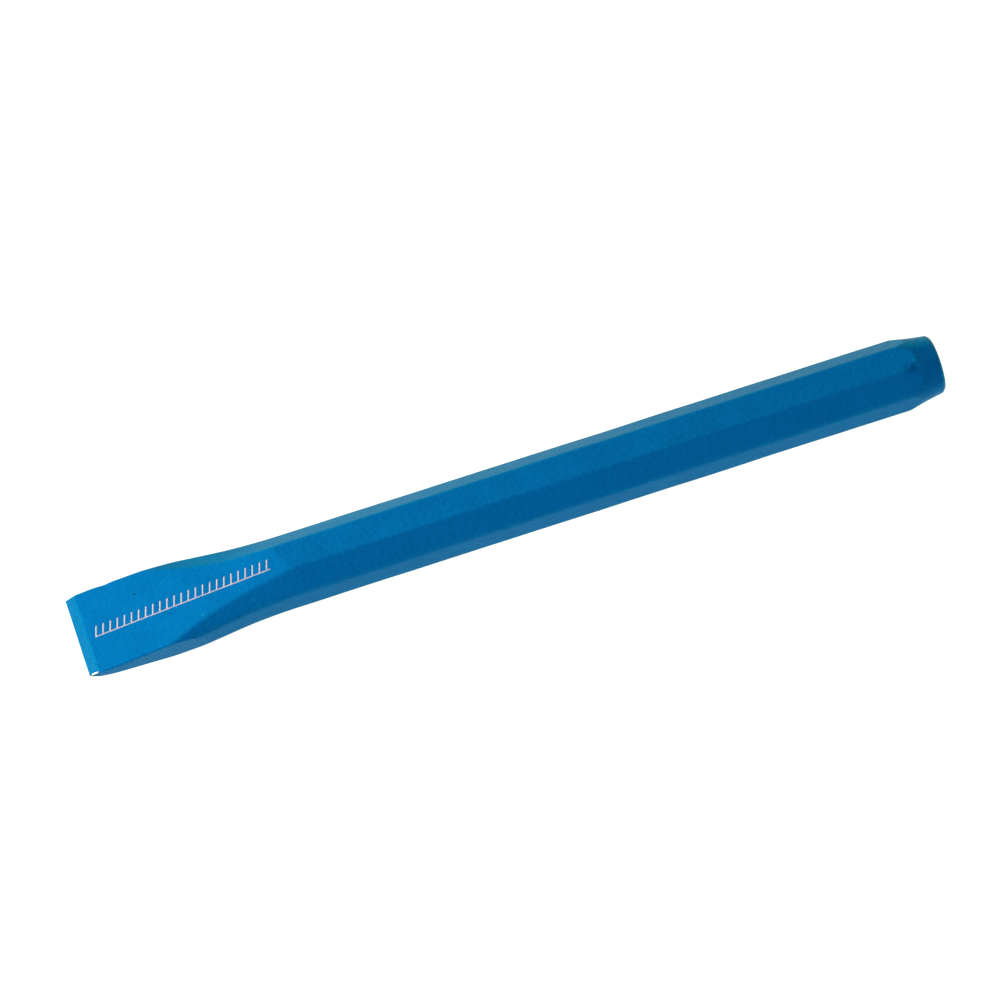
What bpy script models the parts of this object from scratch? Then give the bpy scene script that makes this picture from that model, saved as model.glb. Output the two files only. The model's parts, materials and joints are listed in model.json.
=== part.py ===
"""Cold chisel: a forged octagonal steel bar, its lacquer coat and a plain printed mark.

The chisel lies along X with its cutting edge at -X and its striking head at +X. It rests on one flat of the
octagon, so Z = 0 is the surface it lies on. Lengths are in metres.
"""

import math

import bmesh
import bpy
from mathutils import Matrix, Vector

# Driving dimensions of the finished, coated tool.
LENGTH = 0.250
ACROSS_FLATS = 0.019
ARRIS_RADIUS = 0.0014
BLADE_WIDTH = 0.0236

# Cutting bevels and the wedge-shaped blade behind them.
BEVEL_HALF_ANGLE = math.radians(30)
BEVEL_LENGTH = 0.0026
WEDGE_LENGTH = 0.0593

# The blade is forged and ground slightly out of line with the flats of the octagon, turned about the bar's axis.
BLADE_ROLL = math.radians(4.0)
ROLL_END = 0.036

# The forged flare from the octagon to the blade, in distances from the cutting edge.
FLARE_START = 0.060
FLARE_ARC_RADIUS = 0.139
SPREAD_START = 0.046
SPREAD_END = 0.022
SPREAD_AMOUNT = 0.0016
FLARE_STATIONS = 16

# Striking head: a turned cone with a rounded rim and a flat end. Its end radius is where cone and end would meet.
HEAD_END_RADIUS = 0.0081
HEAD_HALF_ANGLE = math.radians(11.2)
HEAD_RIM_RADIUS = 0.0006
HEAD_SEGMENTS = 48
RIM_STEPS = 3

# Lacquer coat, the clearance under it, and the corner of the bevel where it has chipped away.
COAT_THICKNESS = 0.0001
COAT_CLEARANCE = 0.0003
CHIP_WIDTH = 0.0007
CHIP_SIDES = 6

# Printed mark: slanting ticks joined by one fine rule, on the upper flat of the blade.
MARK_START = 0.0047
MARK_LENGTH = 0.0515
MARK_HEIGHT = 0.0031
MARK_SIDESTEP = -0.0003
MARK_TURN = math.radians(0.35)
MARK_RULE = 0.0003
MARK_TICKS = 25
MARK_TICK_WIDTH = 0.00045
MARK_SLANT = 0.0009
MARK_THICKNESS = 0.0001
MARK_CLEARANCE = 0.0003

# Clearance by which the trimming envelopes pass outside the bar.
OVERSIZE = 0.004

CORNER_STEPS = 2
HALF_FLATS = ACROSS_FLATS / 2
BEVEL_HALF_THICKNESS = BEVEL_LENGTH * math.tan(BEVEL_HALF_ANGLE)
WEDGE_SLOPE = (HALF_FLATS - BEVEL_HALF_THICKNESS) / (WEDGE_LENGTH - BEVEL_LENGTH)
DIAGONAL = math.sqrt(0.5)


def clear_scene():
    for item in list(bpy.data.objects):
        bpy.data.objects.remove(item, do_unlink=True)


def make_material(name, color, roughness, metallic):
    material = bpy.data.materials.new(name)
    material.use_nodes = True
    shader = material.node_tree.nodes["Principled BSDF"]
    shader.inputs["Base Color"].default_value = (*color, 1.0)
    shader.inputs["Roughness"].default_value = roughness
    shader.inputs["Metallic"].default_value = metallic
    return material


def object_from_bmesh(name, shape, material=None):
    bmesh.ops.recalc_face_normals(shape, faces=shape.faces)
    mesh = bpy.data.meshes.new(name)
    shape.to_mesh(mesh)
    shape.free()
    item = bpy.data.objects.new(name, mesh)
    bpy.context.scene.collection.objects.link(item)
    if material:
        mesh.materials.append(material)
    return item


def as_cutter(item):
    item.hide_render = True
    item.display_type = "WIRE"
    return item


def add_boolean(item, cutter, operation):
    modifier = item.modifiers.new(cutter.name, "BOOLEAN")
    modifier.operation = operation
    modifier.object = cutter
    return modifier


def thicken(shape, face, along):
    """Extrudes one face into a solid."""
    swept = bmesh.ops.extrude_face_region(shape, geom=[face])
    moved = [item for item in swept["geom"] if isinstance(item, bmesh.types.BMVert)]
    bmesh.ops.translate(shape, verts=moved, vec=along)


def smoothstep(value):
    value = min(1.0, max(0.0, value))
    return value * value * (3.0 - 2.0 * value)


def half_width(from_edge):
    """Half the forging's width: the bar, then an arc that flares out to the blade's ground sides."""
    run = max(0.0, FLARE_START - from_edge)
    arc = FLARE_ARC_RADIUS - math.sqrt(FLARE_ARC_RADIUS**2 - run**2)
    return min(BLADE_WIDTH / 2, HALF_FLATS + arc)


def roll_at(from_edge):
    """The forging's turn about its own axis, which grows from the bar to the blade."""
    return BLADE_ROLL * smoothstep((FLARE_START - from_edge) / (FLARE_START - ROLL_END))


def blade_frame():
    """Carries a shape drawn square to the blade, with the bar's axis as its X axis, to where the blade is."""
    return Matrix.Translation((0.0, 0.0, HALF_FLATS)) @ Matrix.Rotation(BLADE_ROLL, 4, "X")


def chamfer_distance(from_edge):
    """Distance from the axis to the four slanting faces, which the forging pushes out at the blade."""
    spread = smoothstep((SPREAD_START - from_edge) / (SPREAD_START - SPREAD_END))
    return HALF_FLATS + SPREAD_AMOUNT * spread


def section_ring(from_edge, inset):
    """Points of one octagonal section with rounded corners, moved inwards by inset."""
    radius = ARRIS_RADIUS
    side = half_width(from_edge) - radius
    flat = HALF_FLATS - radius
    slant = (chamfer_distance(from_edge) - radius) / DIAGONAL
    corners = [
        (side, slant - side, 0.0),
        (slant - flat, flat, 45.0),
        (flat - slant, flat, 90.0),
        (-side, slant - side, 135.0),
        (-side, side - slant, 180.0),
        (flat - slant, -flat, 225.0),
        (slant - flat, -flat, 270.0),
        (side, side - slant, 315.0),
    ]
    turn = Matrix.Rotation(roll_at(from_edge), 2)
    ring = []
    for y, z, first_angle in corners:
        for step in range(CORNER_STEPS + 1):
            angle = math.radians(first_angle + 45.0 * step / CORNER_STEPS)
            point = Vector((y + (radius - inset) * math.cos(angle), z + (radius - inset) * math.sin(angle)))
            ring.append(turn @ point)
    return ring


def x_of(from_edge):
    return from_edge - LENGTH / 2


def build_stock(name, inset):
    """The forged bar before grinding: octagonal sections bridged from beyond the edge to beyond the head."""
    flare_step = FLARE_START / FLARE_STATIONS
    stations = [-OVERSIZE]
    stations += [flare_step * step for step in range(2, FLARE_STATIONS + 1)]
    stations.append(LENGTH + OVERSIZE)
    shape = bmesh.new()
    rings = []
    for from_edge in stations:
        ring = [shape.verts.new((x_of(from_edge), y, HALF_FLATS + z)) for y, z in section_ring(from_edge, inset)]
        rings.append(ring)
    count = len(rings[0])
    for near, far in zip(rings, rings[1:]):
        for i in range(count):
            j = (i + 1) % count
            shape.faces.new((near[i], near[j], far[j], far[i]))
    shape.faces.new(rings[0])
    shape.faces.new(rings[-1])
    bmesh.ops.triangulate(shape, faces=[f for f in shape.faces if len(f.verts) == 4])
    return object_from_bmesh(name, shape)


def build_wedge_envelope(name, inset):
    """The ground blade: two cutting bevels meeting at the edge, two wedge flats, and open space behind them."""
    wedge_tilt = math.atan(WEDGE_SLOPE)
    edge = inset / math.sin(BEVEL_HALF_ANGLE)
    wedge_drop = inset / math.cos(wedge_tilt)
    bevel_slope = math.tan(BEVEL_HALF_ANGLE)
    wedge_at_edge = BEVEL_HALF_THICKNESS - WEDGE_SLOPE * BEVEL_LENGTH - wedge_drop
    shoulder = (bevel_slope * edge + wedge_at_edge) / (bevel_slope - WEDGE_SLOPE)
    shoulder_height = wedge_at_edge + WEDGE_SLOPE * shoulder
    top = HALF_FLATS + OVERSIZE
    wedge_end = (top - wedge_at_edge) / WEDGE_SLOPE
    upper = [(shoulder, shoulder_height), (wedge_end, top), (LENGTH + 2 * OVERSIZE, top)]
    outline = [(edge, 0.0)] + upper + [(x, -z) for x, z in reversed(upper)]
    shape = bmesh.new()
    reach = BLADE_WIDTH / 2 + OVERSIZE
    verts = [shape.verts.new((x_of(x), -reach, z)) for x, z in outline]
    thicken(shape, shape.faces.new(verts), (0.0, 2 * reach, 0.0))
    shape.transform(blade_frame())
    return as_cutter(object_from_bmesh(name, shape))


def build_head_envelope(name, inset):
    """The turned head: flat striking face, rounded rim and cone, with open space ahead of them."""
    rim = HEAD_RIM_RADIUS
    rim_centre_r = HEAD_END_RADIUS + rim * math.tan(HEAD_HALF_ANGLE) - rim / math.cos(HEAD_HALF_ANGLE)
    end = LENGTH - inset
    profile = [(end, 0.0)]
    for step in range(RIM_STEPS + 1):
        angle = (math.pi / 2 - HEAD_HALF_ANGLE) * step / RIM_STEPS
        along = LENGTH - rim + (rim - inset) * math.cos(angle)
        out = rim_centre_r + (rim - inset) * math.sin(angle)
        profile.append((along, out))
    reach = BLADE_WIDTH / 2 + OVERSIZE
    along, out = profile[-1]
    profile.append((along - (reach - out) / math.tan(HEAD_HALF_ANGLE), reach))
    profile.append((-2 * OVERSIZE, reach))
    profile.append((-2 * OVERSIZE, 0.0))
    shape = bmesh.new()
    verts = [shape.verts.new((x_of(along), out, 0.0)) for along, out in profile]
    edges = [shape.edges.new(pair) for pair in zip(verts, verts[1:])]
    bmesh.ops.spin(
        shape,
        geom=verts + edges,
        cent=(0.0, 0.0, 0.0),
        axis=(1.0, 0.0, 0.0),
        angle=2 * math.pi,
        steps=HEAD_SEGMENTS,
    )
    bmesh.ops.remove_doubles(shape, verts=shape.verts, dist=1e-6)
    bmesh.ops.translate(shape, verts=shape.verts, vec=(0.0, 0.0, HALF_FLATS))
    return as_cutter(object_from_bmesh(name, shape))


def build_solid(name, inset, material=None):
    """The whole chisel moved inwards by inset: stock trimmed by the ground blade and the turned head."""
    solid = build_stock(name, inset)
    if material:
        solid.data.materials.append(material)
    add_boolean(solid, build_wedge_envelope(name + "_wedge", inset), "INTERSECT")
    add_boolean(solid, build_head_envelope(name + "_head", inset), "INTERSECT")
    return solid


def build_chip_cutter():
    """A tapering cutter along the corner where the upper bevel meets the blade's -Y side."""
    start = Vector((x_of(0.0), -BLADE_WIDTH / 2, 0.0))
    end = Vector((x_of(BEVEL_LENGTH), -BLADE_WIDTH / 2, BEVEL_HALF_THICKNESS))
    run = end - start
    turn = run.to_track_quat("Z", "Y").to_matrix().to_4x4()
    shape = bmesh.new()
    bmesh.ops.create_cone(
        shape,
        cap_ends=True,
        segments=CHIP_SIDES,
        radius1=CHIP_WIDTH / 2,
        radius2=CHIP_WIDTH / 5,
        depth=run.length,
        matrix=blade_frame() @ Matrix.Translation((start + end) / 2) @ turn,
    )
    return as_cutter(object_from_bmesh("chip_cutter", shape))


def build_coat(material):
    """The lacquer as a thin shell: the chisel's outside less its own hollow, opened by the chip."""
    coat = build_solid("lacquer_coat", 0.0, material)
    hollow = as_cutter(build_solid("coat_hollow", COAT_THICKNESS))
    add_boolean(coat, hollow, "DIFFERENCE")
    add_boolean(coat, build_chip_cutter(), "DIFFERENCE")
    return coat


def mark_outline():
    """The mark seen square on: a rule along its lower side with slanting ticks standing on it."""
    pitch = (MARK_LENGTH - MARK_SLANT - MARK_TICK_WIDTH) / (MARK_TICKS - 1)
    points = [(MARK_LENGTH, 0.0)]
    for tick in reversed(range(MARK_TICKS)):
        foot = tick * pitch
        points.append((foot + MARK_TICK_WIDTH, MARK_RULE))
        points.append((foot + MARK_TICK_WIDTH + MARK_SLANT, MARK_HEIGHT))
        points.append((foot + MARK_SLANT, MARK_HEIGHT))
        points.append((foot, MARK_RULE))
    points.append((0.0, 0.0))
    return points


def build_print_mark(material):
    """The pale mark, lying along the wedge flat near the middle of the blade."""
    shape = bmesh.new()
    verts = [shape.verts.new((x, y - MARK_HEIGHT / 2, 0.0)) for x, y in mark_outline()]
    thicken(shape, shape.faces.new(verts), (0.0, 0.0, MARK_THICKNESS))
    mark = object_from_bmesh("print_mark", shape, material)
    tilt = math.atan(WEDGE_SLOPE)
    surface = BEVEL_HALF_THICKNESS + WEDGE_SLOPE * (MARK_START - BEVEL_LENGTH)
    lift = MARK_CLEARANCE / math.cos(tilt)
    place = Matrix.Translation((x_of(MARK_START), MARK_SIDESTEP, surface + lift))
    turn = Matrix.Rotation(-tilt, 4, "Y") @ Matrix.Rotation(MARK_TURN, 4, "Z")
    mark.matrix_world = blade_frame() @ place @ turn
    return mark


def shade_round(item):
    """Smooth shading between the head's and the arrises' facets, sharp at every flat."""
    item.data.shade_smooth()
    item.data.set_sharp_from_angle(angle=math.radians(20))


def main():
    clear_scene()
    steel = make_material("bare_steel", (0.62, 0.63, 0.65), 0.32, 1.0)
    lacquer = make_material("blue_lacquer", (0.006, 0.16, 0.42), 0.38, 0.0)
    ink = make_material("pale_ink", (0.80, 0.72, 0.74), 0.55, 0.0)
    shade_round(build_solid("forged_bar", COAT_THICKNESS + COAT_CLEARANCE, steel))
    shade_round(build_coat(lacquer))
    build_print_mark(ink)


main()
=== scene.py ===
import json
import math

import bmesh
import bpy
import numpy as np
from mathutils import Matrix, Vector


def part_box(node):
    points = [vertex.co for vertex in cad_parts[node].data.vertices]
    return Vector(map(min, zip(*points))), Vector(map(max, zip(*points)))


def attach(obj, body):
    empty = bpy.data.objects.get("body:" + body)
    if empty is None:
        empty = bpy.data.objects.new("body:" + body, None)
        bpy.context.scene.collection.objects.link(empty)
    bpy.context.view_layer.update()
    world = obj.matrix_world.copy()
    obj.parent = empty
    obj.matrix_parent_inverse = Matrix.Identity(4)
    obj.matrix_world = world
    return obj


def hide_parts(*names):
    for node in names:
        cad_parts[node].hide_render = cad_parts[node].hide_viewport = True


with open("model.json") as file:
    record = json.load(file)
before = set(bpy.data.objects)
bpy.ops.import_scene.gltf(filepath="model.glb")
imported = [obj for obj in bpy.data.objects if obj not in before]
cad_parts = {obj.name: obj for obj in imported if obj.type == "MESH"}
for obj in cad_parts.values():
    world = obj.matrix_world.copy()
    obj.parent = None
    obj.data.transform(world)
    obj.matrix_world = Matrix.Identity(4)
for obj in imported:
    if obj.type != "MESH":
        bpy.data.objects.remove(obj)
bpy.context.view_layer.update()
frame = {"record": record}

# Where the chisel is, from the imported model.
MOUNTS = {mount["name"]: mount for mount in frame["record"]["mounts"]}
COAT_LOW, COAT_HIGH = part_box("lacquer_coat")
EDGE_X = COAT_LOW.x
LENGTH = COAT_HIGH.x - COAT_LOW.x
HALF_FLATS = (MOUNTS["upper_flat"]["pos_m"][2] - MOUNTS["rest_flat"]["pos_m"][2]) / 2
AXIS_Z = MOUNTS["striking_face"]["pos_m"][2]
MM = 0.001
DIAGONAL = math.sqrt(0.5)

# Ground blade: its width between the sides, the corners eased at the cutting edge on the +Y and -Y sides, the
# wedge flats and cutting bevels, and its turn about the bar.
BLADE_WIDTH = 23.5 * MM
GROUND_FLARE = 0.018
GROUND_FLARE_START = 24 * MM
EDGE_CORNER_LENGTH = 8 * MM
EDGE_CORNER_DROPS = (0.38 * MM, 0.68 * MM)
BEVEL_SLOPE = math.tan(math.radians(30))
BEVEL_LENGTH = 2.6 * MM
BEVEL_HALF_THICKNESS = BEVEL_LENGTH * BEVEL_SLOPE
WEDGE_LENGTH = 59.3 * MM
WEDGE_SLOPE = (HALF_FLATS - BEVEL_HALF_THICKNESS) / (WEDGE_LENGTH - BEVEL_LENGTH)
BLADE_ROLL = math.radians(4.0)
ROLL_END = 36 * MM

# Small flat that eases the blade's upper edge on the -Y side.
EASED_START = 3.4 * MM
EASED_RUN_IN = 1.5 * MM
EASED_END = 27 * MM
EASED_RUN_OUT = 4 * MM
EASED_WIDTH = 0.36 * MM

# Forged flare: the sides curve out to the blade, and the slanting faces lean and spread with them.
FLARE_START = 63 * MM
FLARE_ARC_RADIUS = 200 * MM
FLARE_EDGE_RUN = 19 * MM
LEAN_START = 60.8 * MM
LEAN_END = 36.3 * MM
LEAN = math.radians(10.7)
LEAN_INSET = 0.18 * MM
SPREAD_START = 41.6 * MM
SPREAD_CURVE = 2.9
FAR_SIDE_SPREAD = -0.14 * MM
OCTAGON_TURN = math.radians(45)

# Turned head, a little off the bar's axis.
HEAD_END_RADIUS = 8.17 * MM
HEAD_SLOPE = math.tan(math.radians(8.5))
HEAD_NECK = 5.5 * MM
NECK_SLOPE = math.tan(math.radians(12.6))
HEAD_OFFSET = (-0.13 * MM, 0.27 * MM)
RIM_CHAMFER = 0.65 * MM

# How far each crease is rounded, as the difference in distance over which two faces blend, and where the
# rounding of the -Y upper arris and of the ground edges changes.
ARRIS_BLEND = 0.42 * MM
SOFT_ARRIS_BLEND = 0.85 * MM
SOFT_ARRIS_RISE = 2 * MM
GROUND_EDGE_BLEND = 0.24 * MM
FLARE_GRIND_BLEND = 0.05 * MM
GRIND_BLEND_START = 22 * MM
GRIND_BLEND_RUN = 6 * MM
FLARE_EDGE_BLEND = 1.0 * MM
WEDGE_END_BLEND = 0.10 * MM
SHOULDER_BLEND = 0.12 * MM
CUTTING_EDGE_BLEND = 0.16 * MM
EASED_BLEND = 0.06 * MM
CONE_BLEND = 0.05 * MM
NECK_BLEND = 0.20 * MM
RIM_BLEND = 0.10 * MM

# Long, shallow unevenness of the forging, as waves whose directions lean towards the bar's length.
WAVE_COUNT = 14
WAVE_LENGTHS = (9 * MM, 34 * MM)
WAVE_LENGTHWISE = 1.4
WAVE_STEEPNESS = 0.00055

# Lacquer, which stands a little proud of the nominal faces, the steel under it, and the ink on it.
COAT_RISE = 0.07 * MM
COAT_THICKNESS = 0.10 * MM
BOND_GAP = 0.02 * MM
INK_RISE = 0.025 * MM
INK_SINK = 0.02 * MM

# Chip in the lacquer, along the corner of the upper bevel and the blade's -Y side.
CHIP_START = 0.05 * MM
CHIP_LENGTH = 2.8 * MM
CHIP_WIDTH = 0.40 * MM
CHIP_STEEPNESS = 2.5
CHIP_BLUNTNESS = 4
CHIP_ROUNDS = 20
CHIP_ZONE = 8 * MM

# Small faults in the lacquer: distance from the edge, distance across, radius and depth, in millimetres.
# Nibs stand proud, so their depth is negative.
PINHOLES = (
    (18.5, 5.7, 0.26, 0.07),
    (43.4, -10.1, 0.24, 0.06),
    (132.9, -5.7, 0.22, 0.06),
    (167.4, 1.2, 0.22, 0.06),
    (193.7, 3.6, 0.24, 0.06),
)
NIBS = (
    (0.8, 8.3, 0.22, -0.05),
    (34.4, -7.4, 0.34, -0.05),
    (48.6, -7.9, 0.24, -0.05),
    (94.0, -3.9, 0.22, -0.05),
    (96.8, -2.4, 0.22, -0.05),
    (213.2, 8.0, 0.26, -0.05),
    (242.9, -1.6, 0.34, -0.03),
    (249.0, 0.6, 0.22, -0.04),
    (249.2, -1.1, 0.22, -0.04),
)
DENTS = (
    (11.2, 11.7, 1.5, 0.14),
    (242.0, -3.9, 2.2, 0.30),
    (242.7, -3.0, 0.7, 0.07),
)
SPECK_REACH = 0.55 * MM
SPECK_EDGE = 0.12 * MM
SPECK_MARGIN = 2.6 * MM
# Strength of the painted highlight on nibs and of the painted shade in pinholes.
SPECK_HIGHLIGHT_AND_SHADE = 1.3

# Where the lacquer changes tone: lighter on the arrises and the head's rim, as wear together with painted
# highlights, a painted highlight on the shoulder, painted light on the head's +Y slanting face and on the
# upper slanting face of the +Y side, painted shade on that of the -Y side, and dull on the bevels.
# Lighter arrises: wear together with a painted highlight along each crease.
ARRIS_WEAR_AND_HIGHLIGHT_START = 0.004 * MM
ARRIS_WEAR_AND_HIGHLIGHT_RUN = 0.02 * MM
ARRIS_WEAR_AND_HIGHLIGHT = 0.12
# Painted highlight along the shoulder between the bevel and the wedge flat.
SHOULDER_HIGHLIGHT = 0.45
SHOULDER_HIGHLIGHT_WIDTH = 0.4 * MM
# Lighter rim: wear together with painted highlights.
RIM_WEAR_AND_HIGHLIGHT = 0.75
RIM_WEAR_AND_HIGHLIGHT_LENGTH = 0.85 * MM
RIM_WEAR_AND_HIGHLIGHT_RUN = 0.25 * MM
RIM_WEAR_AND_HIGHLIGHT_INSET = 1.7 * MM
RIM_WEAR_AND_HIGHLIGHT_FADE = 0.6 * MM
# Painted light on the head's +Y slanting face.
HEAD_PAINTED_LIGHT_LENGTH = 12 * MM
HEAD_PAINTED_LIGHT_RUN = 5 * MM
BEVEL_TONE_MARGIN = 0.15 * MM
BEVEL_TONE_RUN = 0.3 * MM
FACING_START = 0.80
FACING_RUN = 0.16

# Speck of rust at the chip: its height above the bar's axis, and its radius.
RUST_RISE = 0.6 * MM
RUST_RADIUS = 0.45 * MM

# Printed mark, as in the part, with slightly uneven edges.
MARK_START = 4.7 * MM
MARK_LENGTH = 51.5 * MM
MARK_HEIGHT = 3.1 * MM
MARK_SIDESTEP = -0.3 * MM
MARK_TURN = math.radians(0.35)
MARK_RULE = 0.3 * MM
MARK_TICKS = 25
MARK_TICK_WIDTH = 0.45 * MM
MARK_SLANT = 0.9 * MM
MARK_CUTS = 4
MARK_WANDER = 0.014 * MM
CELL_STEP = 0.001 * MM

# Colours of the lacquer, the steel and the ink.
LACQUER_DEEP = (0.001, 0.172, 0.448)
LACQUER_LIGHT = (0.001, 0.196, 0.500)
LACQUER_GRAIN = (0.80, 0.86, 0.88)
LACQUER_BEVEL = (0.001, 0.155, 0.340)
# Painted shade: deeper tone on the -Y upper slanting face.
LACQUER_PAINTED_SHADE = (0.001, 0.162, 0.468)
# Painted light: lighter tone on the +Y upper slanting face, in place of fill light from that side.
LACQUER_PAINTED_LIGHT = (0.003, 0.216, 0.432)
# Lighter tone for wear with painted highlights on the arrises, shoulder and rim, and for painted light on the
# head.
LACQUER_WEAR_AND_PAINTED_LIGHT = (0.001, 0.300, 0.540)
# Painted highlight on nibs, and painted shade in pinholes.
LACQUER_NIB_HIGHLIGHT = (0.004, 0.330, 0.520)
LACQUER_PINHOLE_SHADE = (0.004, 0.030, 0.100)
STEEL_DULL = (0.80, 0.80, 0.81)
STEEL_BRIGHT = (0.95, 0.95, 0.95)
STEEL_RUST = (0.42, 0.20, 0.10)
INK_FULL = (0.64, 0.54, 0.57)
INK_THIN = (0.34, 0.38, 0.50)

# Studio: the floor, the surround and the key light.
FLOOR_Z = -0.2 * MM
FLOOR_HALF = 3.0
FLOOR_COLOR = (0.15, 0.15, 0.15)
FLOOR_GLOW = (1.02, 1.12, 0.95)
SKY_COLOR = (0.96, 0.94, 1.04)
SKY_STRENGTH = 0.308
KEY_COLOR = (1.0, 1.03, 0.97)
KEY_POWER = 13.6
KEY_SIZE = (0.45, 0.35)
KEY_DISTANCE = 0.95
KEY_AZIMUTH = math.radians(6.5)
KEY_ELEVATION = math.radians(21)

# Camera, seen from the middle of the bar: its direction, tilt, distance and sidestep, then its lens and
# sensor in millimetres.
CAMERA_AZIMUTH = math.radians(-12.33)
CAMERA_ELEVATION = math.radians(62.94)
CAMERA_TILT = math.radians(-6.79)
CAMERA_DISTANCE = 1.5231
CAMERA_SIDESTEP = (-0.00284, 0.00009)
CAMERA_LENS = 198.5
CAMERA_SENSOR = 36.0

# Ring layout: points on each kind of face, drawn together towards the arrises.
BROAD_POINTS = 44
SIDE_POINTS = 22
CHAMFER_POINTS = 18
CORNER_CROWDING = 0.82
CAP_RINGS = (0.985, 0.95, 0.90, 0.82, 0.68, 0.50, 0.30, 0.12)
STATION_LIMIT = 2 * MM
WEDGE_STATION_LIMIT = 0.6 * MM
STATION_SLACK = 0.03 * MM
MERGE_STEP = 0.0001 * MM

# Moving points onto the field: rounds, the steps that slopes are measured over, the least slopes used, and
# how near the surface a point counts as on it.
SETTLE_ROUNDS = 7
PLACE_ROUNDS = 12
PROBE = 0.002 * MM
FACING_PROBE = 0.01 * MM
LEAST_RISE = 0.3
LEAST_STEEPNESS = 0.05
ON_SURFACE = 0.03 * MM


def smoothstep(value):
    value = np.clip(value, 0.0, 1.0)
    return value * value * (3.0 - 2.0 * value)


def smooth_max(first, second, blend):
    """The larger of two distances, with the crease between them rounded."""
    overlap = np.maximum(blend - np.abs(first - second), 0.0)
    return np.maximum(first, second) + overlap * overlap / (4.0 * blend)


def roll_at(along):
    return BLADE_ROLL * smoothstep((FLARE_START - along) / (FLARE_START - ROLL_END))


def forged_half_width(along):
    run = np.maximum(0.0, FLARE_START - along)
    return HALF_FLATS + FLARE_ARC_RADIUS - np.sqrt(FLARE_ARC_RADIUS**2 - run**2)


def ground_half_width(along, drop):
    """Half the width between the ground sides, which spread a little and then turn in at the edge."""
    spread = GROUND_FLARE * np.maximum(0.0, GROUND_FLARE_START - along)
    corner = np.clip(1.0 - along / EDGE_CORNER_LENGTH, 0.0, 1.0)
    return BLADE_WIDTH / 2 + spread - drop * corner * corner


def slant_of(along):
    """The slanting faces: how far their normals turn up from the side, and their distance from the axis."""
    lean = smoothstep((LEAN_START - along) / (LEAN_START - LEAN_END))
    spread = SPREAD_CURVE * np.maximum(0.0, SPREAD_START - along) ** 2
    return OCTAGON_TURN + LEAN * lean, HALF_FLATS - LEAN_INSET * lean + spread


def head_radius(along):
    """Radius of the turned head: a slim cone, then a steeper one where it runs out into the octagon."""
    left = LENGTH - along
    slim = HEAD_END_RADIUS + HEAD_SLOPE * left
    steep = HEAD_END_RADIUS + HEAD_SLOPE * HEAD_NECK + NECK_SLOPE * (left - HEAD_NECK)
    return slim, steep


def turned(y, z, angle):
    """The section coordinates seen in a frame turned about the bar's axis."""
    return y * np.cos(angle) + z * np.sin(angle), z * np.cos(angle) - y * np.sin(angle)


def wedge_height(along):
    """Height of the blade's upper wedge flat above its middle."""
    return BEVEL_HALF_THICKNESS + WEDGE_SLOPE * (along - BEVEL_LENGTH)


def ground_half(height, along):
    """Upper or lower half of the ground blade: wedge flat and cutting bevel."""
    wedge = (height - wedge_height(along)) / math.hypot(1.0, WEDGE_SLOPE)
    bevel = (height - BEVEL_SLOPE * along) / math.hypot(1.0, BEVEL_SLOPE)
    return wedge, bevel


def make_waves():
    """The unevenness of the forging: wave vectors, phases and heights."""
    draw = np.random.default_rng(11)
    lengths = draw.uniform(*WAVE_LENGTHS, WAVE_COUNT)
    directions = draw.normal(size=(WAVE_COUNT, 3))
    directions[:, 0] *= WAVE_LENGTHWISE
    directions /= np.linalg.norm(directions, axis=1)[:, None]
    vectors = directions * (2 * math.pi / lengths)[:, None]
    return vectors, draw.uniform(0, 2 * math.pi, WAVE_COUNT), lengths * WAVE_STEEPNESS


WAVES = make_waves()


def unevenness(points):
    vectors, phases, heights = WAVES
    return np.sin(points @ vectors.T + phases) @ heights


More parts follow.
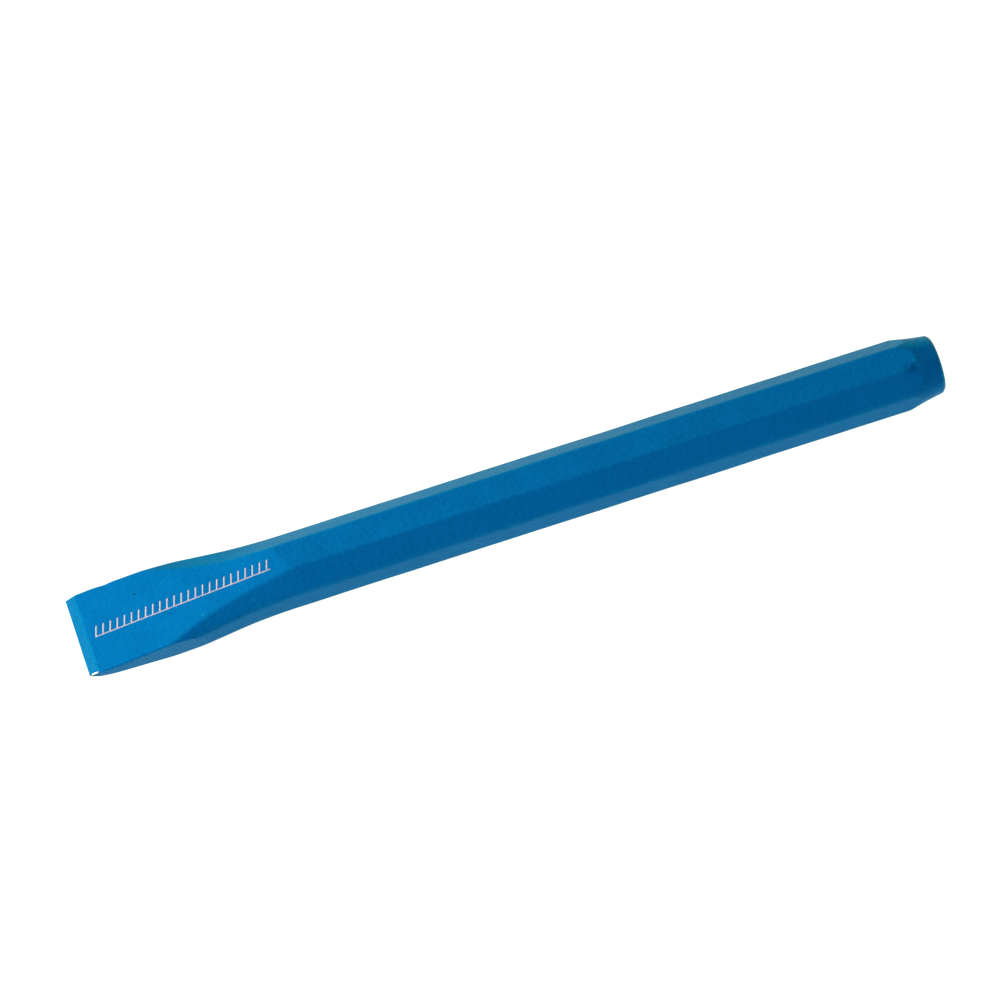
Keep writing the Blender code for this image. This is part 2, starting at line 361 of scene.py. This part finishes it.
def smooth_field(points):
    """Signed distance from the finished surface, positive outside, and how rounded it is at each point."""
    along = points[:, 0] - EDGE_X
    y = points[:, 1]
    z = points[:, 2] - AXIS_Z
    fy, fz = turned(y, z, roll_at(along))
    gy, gz = turned(y, z, BLADE_ROLL)
    upper_wedge, upper_bevel = ground_half(gz, along)
    lower_wedge, lower_bevel = ground_half(-gz, along)
    upper = smooth_max(fz - HALF_FLATS, upper_wedge, WEDGE_END_BLEND)
    upper = smooth_max(upper, upper_bevel, SHOULDER_BLEND)
    lower = smooth_max(-fz - HALF_FLATS, lower_wedge, WEDGE_END_BLEND)
    lower = smooth_max(lower, lower_bevel, SHOULDER_BLEND)
    body = smooth_max(upper, lower, CUTTING_EDGE_BLEND)
    sharp = np.maximum(np.maximum(fz, -fz) - HALF_FLATS, np.maximum(upper_wedge, lower_wedge))
    sharp = np.maximum(sharp, np.maximum(upper_bevel, lower_bevel))
    turn, slant = slant_of(along)
    for across, up in ((1, 1), (-1, 1), (-1, -1), (1, -1)):
        face = across * fy * np.cos(turn) + up * fz * np.sin(turn) - slant
        if across > 0:
            face -= FAR_SIDE_SPREAD * (turn - OCTAGON_TURN) / LEAN
        body = smooth_max(body, face, ARRIS_BLEND)
        sharp = np.maximum(sharp, face)
    flared = smoothstep((FLARE_START - along) / FLARE_EDGE_RUN)
    late = smoothstep((along - GRIND_BLEND_START) / GRIND_BLEND_RUN)
    ground_blend = GROUND_EDGE_BLEND + (FLARE_GRIND_BLEND - GROUND_EDGE_BLEND) * late
    for across, drop in zip((1, -1), EDGE_CORNER_DROPS):
        forged = across * y - forged_half_width(along)
        soft = SOFT_ARRIS_BLEND if across < 0 else ARRIS_BLEND
        blend = ARRIS_BLEND + (soft - ARRIS_BLEND) * smoothstep(fz / SOFT_ARRIS_RISE)
        body = smooth_max(body, forged, blend + (FLARE_EDGE_BLEND - blend) * flared)
        ground = across * gy - ground_half_width(along, drop)
        body = smooth_max(body, ground, ground_blend)
        sharp = np.maximum(sharp, np.maximum(forged, ground))
    eased = smoothstep((along - EASED_START) / EASED_RUN_IN) * smoothstep((EASED_END - along) / EASED_RUN_OUT)
    side = -gy - ground_half_width(along, EDGE_CORNER_DROPS[1])
    easing = (side + upper_wedge) * DIAGONAL + EASED_WIDTH * (eased - 0.5)
    body = np.where(eased > 0.0, smooth_max(body, easing, EASED_BLEND), body)
    radius = np.hypot(y - HEAD_OFFSET[0], z - HEAD_OFFSET[1])
    slim, steep = head_radius(along)
    cone = -smooth_max((slim - radius) * math.cos(math.atan(HEAD_SLOPE)), steep - radius, NECK_BLEND)
    rim = (radius - HEAD_END_RADIUS + RIM_CHAMFER + along - LENGTH) * DIAGONAL
    body = smooth_max(body, cone, CONE_BLEND)
    body = smooth_max(body, rim, RIM_BLEND)
    body = smooth_max(body, along - LENGTH, RIM_BLEND)
    sharp = np.maximum(np.maximum(sharp, cone), np.maximum(rim, along - LENGTH))
    return body + unevenness(points), body - sharp


def place_faults(faults):
    """The faults as places on the upper side, with their radii and depths."""
    placed = []
    for along, across, radius, depth in faults:
        spot = np.array([[EDGE_X + along * MM, across * MM, AXIS_Z + HALF_FLATS]])
        for _ in range(PLACE_ROUNDS):
            value = smooth_field(spot)[0][0]
            slope = (smooth_field(spot + [[0.0, 0.0, PROBE]])[0][0] - value) / PROBE
            spot[0, 2] -= value / max(slope, LEAST_RISE)
        placed.append((spot[0], radius * MM, depth * MM))
    return placed


PLACED_PINHOLES = place_faults(PINHOLES)
PLACED_NIBS = place_faults(NIBS)
PLACED_DENTS = place_faults(DENTS)


def nearness(points, spot, radius):
    """1 at a fault's middle, falling to nothing around it."""
    return np.exp(-((points - spot) ** 2).sum(axis=1) / radius**2)


def chisel_field(points):
    """The finished surface with its faults."""
    body, crease = smooth_field(points)
    for spot, radius, depth in PLACED_PINHOLES + PLACED_NIBS + PLACED_DENTS:
        body = body + depth * nearness(points, spot, radius)
    return body, crease


def settle(points, depth):
    """Moves points onto the surface that lies depth inside the finished one."""
    for _ in range(SETTLE_ROUNDS):
        value = chisel_field(points)[0] + depth
        slope = np.empty_like(points)
        for axis in range(3):
            shifted = points.copy()
            shifted[:, axis] += PROBE
            slope[:, axis] = (chisel_field(shifted)[0] + depth - value) / PROBE
        steepness = np.maximum((slope * slope).sum(axis=1), LEAST_STEEPNESS)
        points = points - slope * (value / steepness)[:, None]
    return points


def crowded(count):
    """Fractions from 0 to just under 1, closer together near both ends."""
    even = np.arange(count) / count
    return even - CORNER_CROWDING * np.sin(2 * math.pi * even) / (2 * math.pi)


def section_ring(along, shrink=1.0):
    """Starting points around one section, in order around the bar, on its faces with sharp corners."""
    width = min(forged_half_width(along), ground_half_width(along, 0.0))
    height = min(HALF_FLATS, wedge_height(along), BEVEL_SLOPE * along)
    turn, slant = slant_of(along)
    flat = min(width, (slant - height * math.sin(turn)) / math.cos(turn))
    side = min(height, (slant - width * math.cos(turn)) / math.sin(turn))
    corners = [
        (flat, height, BROAD_POINTS),
        (-flat, height, CHAMFER_POINTS),
        (-width, side, SIDE_POINTS),
        (-width, -side, CHAMFER_POINTS),
        (-flat, -height, BROAD_POINTS),
        (flat, -height, CHAMFER_POINTS),
        (width, -side, SIDE_POINTS),
        (width, side, CHAMFER_POINTS),
    ]
    runs = []
    for (y0, z0, count), (y1, z1, _) in zip(corners, corners[1:] + corners[:1]):
        part = crowded(count)
        runs.append(np.column_stack([y0 + (y1 - y0) * part, z0 + (z1 - z0) * part]))
    section = np.concatenate(runs)
    limit = max(head_radius(along))
    radius = np.maximum(np.hypot(section[:, 0], section[:, 1]), 1e-9)
    section *= (np.minimum(1.0, limit / radius) * shrink)[:, None]
    y, z = turned(section[:, 0], section[:, 1], -roll_at(along))
    return np.column_stack([np.full(len(section), EDGE_X + along), y, AXIS_Z + z])


def stations():
    """Distances from the cutting edge: closer at the edge, the shoulder, the wedge's end and the head."""
    # Each place has the step between stations there, and how fast the step grows away from it.
    marks = (
        (0.0, 0.07 * MM, 0.22),
        (BEVEL_LENGTH, 0.14 * MM, 0.14),
        (WEDGE_LENGTH - 2 * MM, 0.55 * MM, 0.05),
        (LENGTH - 7 * MM, 0.28 * MM, 0.08),
        (LENGTH, 0.06 * MM, 0.14),
    )
    found = [0.0]
    while found[-1] < LENGTH - STATION_SLACK:
        here = found[-1]
        limit = WEDGE_STATION_LIMIT if here < WEDGE_LENGTH else STATION_LIMIT
        step = min(fine + growth * abs(here - mark) for mark, fine, growth in marks)
        found.append(min(LENGTH, here + min(step, limit)))
    return found


def sheet_arrays(places, depth):
    """One closed sheet of the chisel's surface: points, and faces in order from the cutting edge."""
    rings = [section_ring(along) for along in places]
    rings += [section_ring(LENGTH, shrink) for shrink in CAP_RINGS]
    count = len(rings[0])
    points = np.concatenate(rings + [np.array([[EDGE_X + LENGTH, 0.0, AXIS_Z]])])
    _, first, merged = np.unique(
        np.round(points / MERGE_STEP).astype(np.int64), axis=0, return_index=True, return_inverse=True
    )
    merged = first[merged.reshape(-1)]
    faces = []
    for ring in range(len(rings) - 1):
        for i in range(count):
            j = (i + 1) % count
            corner = [ring * count + i, ring * count + j, (ring + 1) * count + j, (ring + 1) * count + i]
            face = list(dict.fromkeys(int(merged[c]) for c in corner))
            if len(face) > 2:
                faces.append(face)
    last = (len(rings) - 1) * count
    centre = len(points) - 1
    faces += [[last + i, last + (i + 1) % count, centre] for i in range(count)]
    return settle(points, depth), faces


def in_chip(point):
    """Whether a point of the surface lies where the lacquer has chipped off the corner of the bevel."""
    along = point[0] - EDGE_X
    run = (along - CHIP_START) / CHIP_LENGTH
    if not 0.0 < run < 1.0:
        return False
    gy, gz = turned(point[1], point[2] - AXIS_Z, BLADE_ROLL)
    from_side = ground_half_width(along, EDGE_CORNER_DROPS[1]) + COAT_RISE + gy
    from_bevel = COAT_RISE - ground_half(gz, along)[1]
    width = CHIP_WIDTH * math.sqrt(1.0 - (2.0 * run - 1.0) ** CHIP_BLUNTNESS)
    return from_side + CHIP_STEEPNESS * from_bevel < width


def eased_loop(points, ring, depth):
    """Evens out a ragged line of the surface, given as each point's two neighbours."""
    names = list(ring)
    before = [names.index(ring[name][0]) for name in names]
    after = [names.index(ring[name][1]) for name in names]
    line = points[names]
    for _ in range(CHIP_ROUNDS):
        line = 0.5 * line + 0.25 * (line[before] + line[after])
    points[names] = settle(line, depth)


def hidden_places(places):
    """The stations that the inner sheet and the steel share: all near the chip, every third beyond."""
    return [along for i, along in enumerate(places) if along < CHIP_ZONE or i % 3 == 0 or along == LENGTH]


def shell_arrays(places):
    """The lacquer: an outer sheet and a coarser inner one, joined around the edge of the chip."""
    outer, faces = sheet_arrays(places, -COAT_RISE)
    inner, inner_faces = sheet_arrays(hidden_places(places), COAT_THICKNESS - COAT_RISE)
    # Near the chip the two sheets have the same stations, so a face has the same number in both.
    chipped = {i for i, face in enumerate(faces) if in_chip(outer[face].mean(axis=0))}
    offset = len(outer)
    whole = [face for i, face in enumerate(faces) if i not in chipped]
    under = [[offset + i for i in face] for k, face in enumerate(inner_faces) if k not in chipped]
    ends = {}
    for i in chipped:
        face = faces[i]
        for a, b in zip(face, face[1:] + face[:1]):
            if (b, a) in ends:
                del ends[(b, a)]
            else:
                ends[(a, b)] = True
    ring = {a: [None, b] for a, b in ends}
    for a, b in ends:
        ring[b][0] = a
    eased_loop(outer, ring, -COAT_RISE)
    eased_loop(inner, ring, COAT_THICKNESS - COAT_RISE)
    rim = [[a, b, offset + b, offset + a] for a, b in ends]
    return np.concatenate([outer, inner]), whole + under + rim


def link_mesh(name, points, faces, material, refine=None, marks=None):
    """An object from points and faces, less the points that no face uses, with values on its points."""
    used, index = np.unique(np.concatenate([np.array(face) for face in faces]), return_inverse=True)
    ends = np.cumsum([len(face) for face in faces])
    corners = np.split(index.reshape(-1), ends[:-1])
    mesh = bpy.data.meshes.new(name)
    mesh.from_pydata(points[used].tolist(), [], [corner.tolist() for corner in corners])
    shape = bmesh.new()
    shape.from_mesh(mesh)
    bmesh.ops.recalc_face_normals(shape, faces=shape.faces)
    if refine:
        refine(shape)
    shape.to_mesh(mesh)
    shape.free()
    if marks:
        places = np.array([vert.co for vert in mesh.vertices])
        for mark, values in marks(places).items():
            layer = mesh.attributes.new(mark, "FLOAT", "POINT")
            layer.data.foreach_set("value", values.astype(np.float32))
    mesh.materials.append(material)
    mesh.shade_smooth()
    item = bpy.data.objects.new(name, mesh)
    bpy.context.scene.collection.objects.link(item)
    return item


def refine_specks(shape):
    """Cuts the outer sheet finely around the pinholes and nibs, and settles the new points."""
    places = np.array([vert.co for vert in shape.verts])
    on_outside = np.abs(chisel_field(places)[0] - COAT_RISE) < ON_SURFACE
    shape.verts.ensure_lookup_table()
    near_outside = []
    centres = []
    for spot, _, _ in PLACED_PINHOLES + PLACED_NIBS:
        centre = settle(spot[None, :], -COAT_RISE)[0]
        near = on_outside & (np.linalg.norm(places - centre, axis=1) < SPECK_REACH + SPECK_MARGIN)
        near_outside.append({shape.verts[i] for i in np.flatnonzero(near)})
        centres.append(Vector(centre))
    added = set()
    for centre, local in zip(centres, near_outside):
        local = {vert for vert in local if vert.is_valid}
        while True:
            edges = {edge for vert in local for edge in vert.link_edges if needs_cut(edge, centre, local)}
            if not edges:
                break
            cut = bmesh.ops.subdivide_edges(shape, edges=list(edges), cuts=1, use_grid_fill=True)
            fresh = {item for item in cut["geom_inner"] if isinstance(item, bmesh.types.BMVert)}
            added |= fresh
            local = {vert for vert in local | fresh if vert.is_valid}
    added = sorted((vert for vert in added if vert.is_valid), key=lambda vert: tuple(vert.co))
    moved = settle(np.array([vert.co for vert in added]), -COAT_RISE)
    for vert, place in zip(added, moved):
        vert.co = place
    bmesh.ops.triangulate(shape, faces=[face for face in shape.faces if len(face.verts) > 4])


def needs_cut(edge, centre, local):
    first, second = edge.verts
    if first not in local or second not in local:
        return False
    length = edge.calc_length()
    return length > SPECK_EDGE and ((first.co + second.co) / 2 - centre).length < SPECK_REACH + length / 2


def make_camera():
    back = Vector((
        math.sin(CAMERA_AZIMUTH) * math.cos(CAMERA_ELEVATION),
        -math.cos(CAMERA_AZIMUTH) * math.cos(CAMERA_ELEVATION),
        math.sin(CAMERA_ELEVATION),
    ))
    level = Vector((math.cos(CAMERA_AZIMUTH), math.sin(CAMERA_AZIMUTH), 0.0))
    upright = back.cross(level)
    right = level * math.cos(CAMERA_TILT) + upright * math.sin(CAMERA_TILT)
    up = upright * math.cos(CAMERA_TILT) - level * math.sin(CAMERA_TILT)
    lens = bpy.data.cameras.new("camera")
    lens.sensor_width = CAMERA_SENSOR
    lens.lens = CAMERA_LENS
    lens.clip_start = 0.05
    lens.clip_end = 10.0
    camera = bpy.data.objects.new("camera", lens)
    bpy.context.scene.collection.objects.link(camera)
    place = Matrix((right, up, back)).transposed().to_4x4()
    target = Vector((0.0, 0.0, AXIS_Z)) + right * CAMERA_SIDESTEP[0] + up * CAMERA_SIDESTEP[1]
    place.translation = target + back * CAMERA_DISTANCE
    camera.matrix_world = place
    bpy.context.scene.camera = camera


class Nodes:
    """A short way to add shader nodes and link them."""

    def __init__(self, name):
        self.material = bpy.data.materials.new(name)
        self.material.use_nodes = True
        self.tree = self.material.node_tree
        self.shader = self.tree.nodes["Principled BSDF"]
        self.place = self.add("ShaderNodeTexCoord").outputs["Object"]

    def add(self, kind, **settings):
        node = self.tree.nodes.new(kind)
        for name, value in settings.items():
            setattr(node, name, value)
        return node

    def link(self, output, node, name):
        self.tree.links.new(output, node.inputs[name])

    def noise(self, size, detail=2.0, stretch=(1.0, 1.0, 1.0)):
        """Noise from 0 to 1 whose features are about size across, drawn out along some axes."""
        spread = self.add("ShaderNodeMapping")
        spread.inputs["Scale"].default_value = [1.0 / part for part in stretch]
        self.link(self.place, spread, "Vector")
        node = self.add("ShaderNodeTexNoise")
        node.inputs["Scale"].default_value = 1.0 / size
        node.inputs["Detail"].default_value = detail
        self.link(spread.outputs["Vector"], node, "Vector")
        return node.outputs["Fac"]

    def mark(self, name):
        return self.add("ShaderNodeAttribute", attribute_name=name).outputs["Fac"]

    def span(self, value, low, high, first=0.0, last=1.0):
        """Carries the values from low to high over to those from first to last, and no further."""
        node = self.add("ShaderNodeMapRange")
        for name, number in (("From Min", low), ("From Max", high), ("To Min", first), ("To Max", last)):
            node.inputs[name].default_value = number
        self.link(value, node, "Value")
        return node.outputs["Result"]

    def mix(self, amount, first, second, blend="MIX"):
        """Mixes two colours, each a colour or another node's output."""
        node = self.add("ShaderNodeMix", data_type="RGBA", blend_type=blend)
        self.link(amount, node, 0)
        for socket, color in ((6, first), (7, second)):
            if isinstance(color, tuple):
                node.inputs[socket].default_value = (*color, 1.0)
            else:
                self.link(color, node, socket)
        return node.outputs[2]

    def bumps(self, layers):
        """Lays bumps over each other, each a noise and its height."""
        normal = None
        for value, height in layers:
            node = self.add("ShaderNodeBump")
            node.inputs["Strength"].default_value = 1.0
            node.inputs["Distance"].default_value = height
            self.link(value, node, "Height")
            if normal:
                self.link(normal, node, "Normal")
            normal = node.outputs["Normal"]
        self.link(normal, self.shader, "Normal")


def make_lacquer():
    """Satin lacquer: orange peel, faint mottling, and other tones: wear with painted highlights on the
    arrises and rim, a painted highlight on the shoulder, painted light on the head and the +Y slanting face,
    painted shade on the -Y slanting face, painted highlights on nibs, painted shade in pinholes, and a duller
    tone on the bevel.
    """
    n = Nodes("blue_lacquer")
    clouds = n.noise(9 * MM, 3.0)
    grain = n.noise(0.45 * MM, 2.0)
    peel = n.noise(0.9 * MM, 2.0, (1.7, 1.0, 1.0))
    ripple = n.noise(4.5 * MM, 1.0)
    patches = n.noise(1.4 * MM, 2.0)
    tone = n.mix(n.span(clouds, 0.3, 0.7), LACQUER_DEEP, LACQUER_LIGHT)
    # Painted shade on the -Y upper slanting face.
    tone = n.mix(n.mark("thick"), tone, LACQUER_PAINTED_SHADE)
    # Painted light on the +Y upper slanting face.
    tone = n.mix(n.mark("light"), tone, LACQUER_PAINTED_LIGHT)
    tone = n.mix(n.mark("bevel"), tone, LACQUER_BEVEL)
    # Wear with painted highlights and painted light, laid on in patches.
    thin = n.add("ShaderNodeMath", operation="MULTIPLY")
    n.link(n.mark("thin"), thin, 0)
    n.link(n.span(patches, 0.35, 0.62, 0.25, 1.0), thin, 1)
    tone = n.mix(thin.outputs[0], tone, LACQUER_WEAR_AND_PAINTED_LIGHT)
    tone = n.mix(n.span(grain, 0.30, 0.70), tone, LACQUER_GRAIN, "MULTIPLY")
    # Painted highlight on nibs and painted shade in pinholes.
    tone = n.mix(n.mark("nib"), tone, LACQUER_NIB_HIGHLIGHT)
    tone = n.mix(n.mark("pit"), tone, LACQUER_PINHOLE_SHADE)
    n.link(tone, n.shader, "Base Color")
    n.link(n.span(clouds, 0.3, 0.7, 0.27, 0.36), n.shader, "Roughness")
    n.shader.inputs["IOR"].default_value = 1.08
    n.shader.inputs["Specular Tint"].default_value = (0.25, 0.6, 1.0, 1.0)
    n.bumps([(ripple, 0.035 * MM), (peel, 0.14 * MM), (grain, 0.03 * MM)])
    return n.material


def make_steel():
    """Bare ground steel: bright, with fine grinding lines across the blade and a speck of rust."""
    n = Nodes("bare_steel")
    lines = n.noise(0.12 * MM, 3.0, (1.0, 25.0, 25.0))
    blotches = n.noise(1.2 * MM, 2.0)
    tone = n.mix(n.span(lines, 0.3, 0.7), STEEL_DULL, STEEL_BRIGHT)
    tone = n.mix(n.mark("rust"), tone, STEEL_RUST)
    n.link(tone, n.shader, "Base Color")
    n.shader.inputs["Metallic"].default_value = 1.0
    n.link(n.span(blotches, 0.3, 0.7, 0.42, 0.56), n.shader, "Roughness")
    n.bumps([(lines, 0.002 * MM)])
    return n.material


def make_ink():
    """Matt printing ink: sparse in places, so that a little of the lacquer shows, with a pitted surface."""
    n = Nodes("pale_ink")
    cover = n.noise(0.35 * MM, 3.0)
    tone = n.mix(n.span(cover, 0.36, 0.50), INK_THIN, INK_FULL)
    n.link(tone, n.shader, "Base Color")
    n.link(n.span(cover, 0.3, 0.7, 0.50, 0.66), n.shader, "Roughness")
    n.shader.inputs["IOR"].default_value = 1.30
    n.bumps([(cover, 0.006 * MM)])
    return n.material


def facing(points, direction):
    """How squarely the surface faces a direction at each point, from 0 to 1."""
    slope = np.zeros((len(points), 3))
    here = smooth_field(points)[0]
    for axis in range(3):
        slope[:, axis] = smooth_field(points + FACING_PROBE * np.eye(3)[axis])[0] - here
    slope /= np.linalg.norm(slope, axis=1)[:, None]
    return smoothstep((slope @ np.array(direction) - FACING_START) / FACING_RUN)


def lacquer_marks(points):
    """Masks for the lacquer: wear with painted highlights on the arrises and rim, a painted highlight on the
    shoulder, painted light on the head and the +Y slanting face, painted shade on the -Y slanting face, the
    cutting bevels, painted highlights on nibs and painted shade in pinholes.
    """
    along = points[:, 0] - EDGE_X
    from_axis = np.hypot(points[:, 1], points[:, 2] - AXIS_Z)
    arris = np.clip((smooth_field(points)[1] - ARRIS_WEAR_AND_HIGHLIGHT_START) / ARRIS_WEAR_AND_HIGHLIGHT_RUN, 0.0, 1.0)
    shoulder = smoothstep(1.5 - np.abs(along - BEVEL_LENGTH) / SHOULDER_HIGHLIGHT_WIDTH)
    rim = smoothstep((along - LENGTH + RIM_WEAR_AND_HIGHLIGHT_LENGTH) / RIM_WEAR_AND_HIGHLIGHT_RUN)
    rim *= smoothstep((from_axis - HEAD_END_RADIUS + RIM_WEAR_AND_HIGHLIGHT_INSET) / RIM_WEAR_AND_HIGHLIGHT_FADE)
    # Painted light: the +Y upper slanting face, found by which way it faces.
    light = facing(points, (0.0, DIAGONAL, DIAGONAL))
    head = smoothstep((along - LENGTH + HEAD_PAINTED_LIGHT_LENGTH) / HEAD_PAINTED_LIGHT_RUN)
    # Wear with painted highlights on the arrises and rim, a painted highlight on the shoulder, and painted
    # light on the head's +Y face.
    worn_and_painted_light = arris * (ARRIS_WEAR_AND_HIGHLIGHT + SHOULDER_HIGHLIGHT * shoulder) + RIM_WEAR_AND_HIGHLIGHT * rim + head * light
    # Painted highlight on nibs and painted shade in pinholes.
    nib = sum(nearness(points, spot, radius) for spot, radius, _ in PLACED_NIBS)
    pit = sum(nearness(points, spot, radius) for spot, radius, _ in PLACED_PINHOLES)
    return {
        "thin": np.clip(worn_and_painted_light, 0.0, 1.0),
        "bevel": smoothstep((BEVEL_LENGTH + BEVEL_TONE_MARGIN - along) / BEVEL_TONE_RUN),
        "nib": np.clip(SPECK_HIGHLIGHT_AND_SHADE * nib, 0.0, 1.0),
        "pit": np.clip(SPECK_HIGHLIGHT_AND_SHADE * pit, 0.0, 1.0),
        # Painted shade on the -Y upper slanting face, found by which way it faces.
        "thick": facing(points, (0.0, -DIAGONAL, DIAGONAL)),
        "light": light,
    }


def rust_marks(points):
    """A speck of rust on the blade's -Y side, where the bevel ends."""
    speck = (EDGE_X + BEVEL_LENGTH, -BLADE_WIDTH / 2, AXIS_Z + RUST_RISE)
    away = np.linalg.norm(points - speck, axis=1)
    return {"rust": np.clip(1.5 - away / RUST_RADIUS, 0.0, 1.0)}


def build_lacquer():
    points, faces = shell_arrays(stations())
    item = link_mesh("lacquer_skin", points, faces, make_lacquer(), refine_specks, lacquer_marks)
    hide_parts("lacquer_coat")
    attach(item, "root")


def build_steel():
    depth = COAT_THICKNESS - COAT_RISE + BOND_GAP
    points, faces = sheet_arrays(hidden_places(stations()), depth)
    item = link_mesh("steel_body", points, faces, make_steel(), None, rust_marks)
    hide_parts("forged_bar")
    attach(item, "root")


def mark_cells():
    """The mark seen square on, as four-sided cells: the rule, and the ticks on it."""
    pitch = (MARK_LENGTH - MARK_SLANT - MARK_TICK_WIDTH) / (MARK_TICKS - 1)
    cells = []
    for tick in range(MARK_TICKS):
        foot = tick * pitch
        side = foot + MARK_TICK_WIDTH
        end = foot + pitch if tick < MARK_TICKS - 1 else MARK_LENGTH
        cells.append([(foot, 0.0), (side, 0.0), (side, MARK_RULE), (foot, MARK_RULE)])
        cells.append([(side, 0.0), (end, 0.0), (end, MARK_RULE), (side, MARK_RULE)])
        for part in range(MARK_CUTS):
            low, high = part / MARK_CUTS, (part + 1) / MARK_CUTS
            rise = MARK_HEIGHT - MARK_RULE
            cells.append([
                (foot + MARK_SLANT * low, MARK_RULE + rise * low),
                (side + MARK_SLANT * low, MARK_RULE + rise * low),
                (side + MARK_SLANT * high, MARK_RULE + rise * high),
                (foot + MARK_SLANT * high, MARK_RULE + rise * high),
            ])
    return cells


def build_mark():
    """The printed mark as a film that follows the lacquer, with slightly uneven edges."""
    shape = bmesh.new()
    corners = {}
    for cell in mark_cells():
        verts = []
        for x, y in cell:
            key = (round(x / CELL_STEP), round(y / CELL_STEP))
            if key not in corners:
                corners[key] = shape.verts.new((x, y, 0.0))
            verts.append(corners[key])
        shape.faces.new(verts)
    bmesh.ops.subdivide_edges(shape, edges=shape.edges[:], cuts=2, use_grid_fill=True)
    shape.verts.ensure_lookup_table()
    draw = np.random.default_rng(5)
    wander = draw.normal(0.0, MARK_WANDER, (len(shape.verts), 2))
    for vert in shape.verts:
        if vert.is_boundary:
            vert.co.x += wander[vert.index][0]
            vert.co.y += wander[vert.index][1]
    flat = np.array([vert.co[:2] for vert in shape.verts])
    run, rise = turned(flat[:, 0], flat[:, 1] - MARK_HEIGHT / 2, -MARK_TURN)
    along = MARK_START + run * math.cos(math.atan(WEDGE_SLOPE))
    y, z = turned(MARK_SIDESTEP + rise, wedge_height(along), -BLADE_ROLL)
    start = np.column_stack([EDGE_X + along, y, AXIS_Z + z])
    top = settle(start, -COAT_RISE - INK_RISE)
    bottom = settle(start, -COAT_RISE + INK_SINK)
    count = len(top)
    faces = [[vert.index for vert in face.verts] for face in shape.faces]
    under = [[count + i for i in reversed(face)] for face in faces]
    walls = []
    for edge in shape.edges:
        if edge.is_boundary:
            a, b = (vert.index for vert in edge.verts)
            walls.append([a, b, count + b, count + a])
    shape.free()
    item = link_mesh("mark_film", np.concatenate([top, bottom]), faces + under + walls, make_ink())
    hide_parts("print_mark")
    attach(item, "root")


def make_floor():
    """A pale floor lit evenly from within, as on a light table, so the chisel throws no hard shadow."""
    mesh = bpy.data.meshes.new("floor")
    signs = ((-1, -1), (1, -1), (1, 1), (-1, 1))
    corners = [(x * FLOOR_HALF, y * FLOOR_HALF, 0.0) for x, y in signs]
    mesh.from_pydata(corners, [], [(0, 1, 2, 3)])
    floor = bpy.data.objects.new("floor", mesh)
    floor.location.z = FLOOR_Z
    bpy.context.scene.collection.objects.link(floor)
    n = Nodes("pale_floor")
    n.shader.inputs["Base Color"].default_value = (*FLOOR_COLOR, 1.0)
    n.shader.inputs["Roughness"].default_value = 0.9
    n.shader.inputs["Emission Color"].default_value = (*FLOOR_GLOW, 1.0)
    n.shader.inputs["Emission Strength"].default_value = 1.0
    mesh.materials.append(n.material)


def make_light():
    """A soft, low light beyond the cutting edge, and an even surround."""
    world = bpy.data.worlds.new("studio")
    bpy.context.scene.world = world
    world.use_nodes = True
    backdrop = world.node_tree.nodes["Background"]
    backdrop.inputs["Color"].default_value = (*SKY_COLOR, 1.0)
    backdrop.inputs["Strength"].default_value = SKY_STRENGTH
    toward = Vector((
        -math.cos(KEY_ELEVATION) * math.cos(KEY_AZIMUTH),
        math.cos(KEY_ELEVATION) * math.sin(KEY_AZIMUTH),
        math.sin(KEY_ELEVATION),
    ))
    lamp = bpy.data.lights.new("key", "AREA")
    lamp.shape = "RECTANGLE"
    lamp.size, lamp.size_y = KEY_SIZE
    lamp.energy = KEY_POWER
    lamp.color = KEY_COLOR
    item = bpy.data.objects.new("key", lamp)
    item.location = toward * KEY_DISTANCE
    item.rotation_euler = toward.to_track_quat("Z", "Y").to_euler()
    bpy.context.scene.collection.objects.link(item)
    bpy.context.scene.view_settings.view_transform = "Standard"


make_camera()
make_floor()
make_light()
build_steel()
build_lacquer()
build_mark()
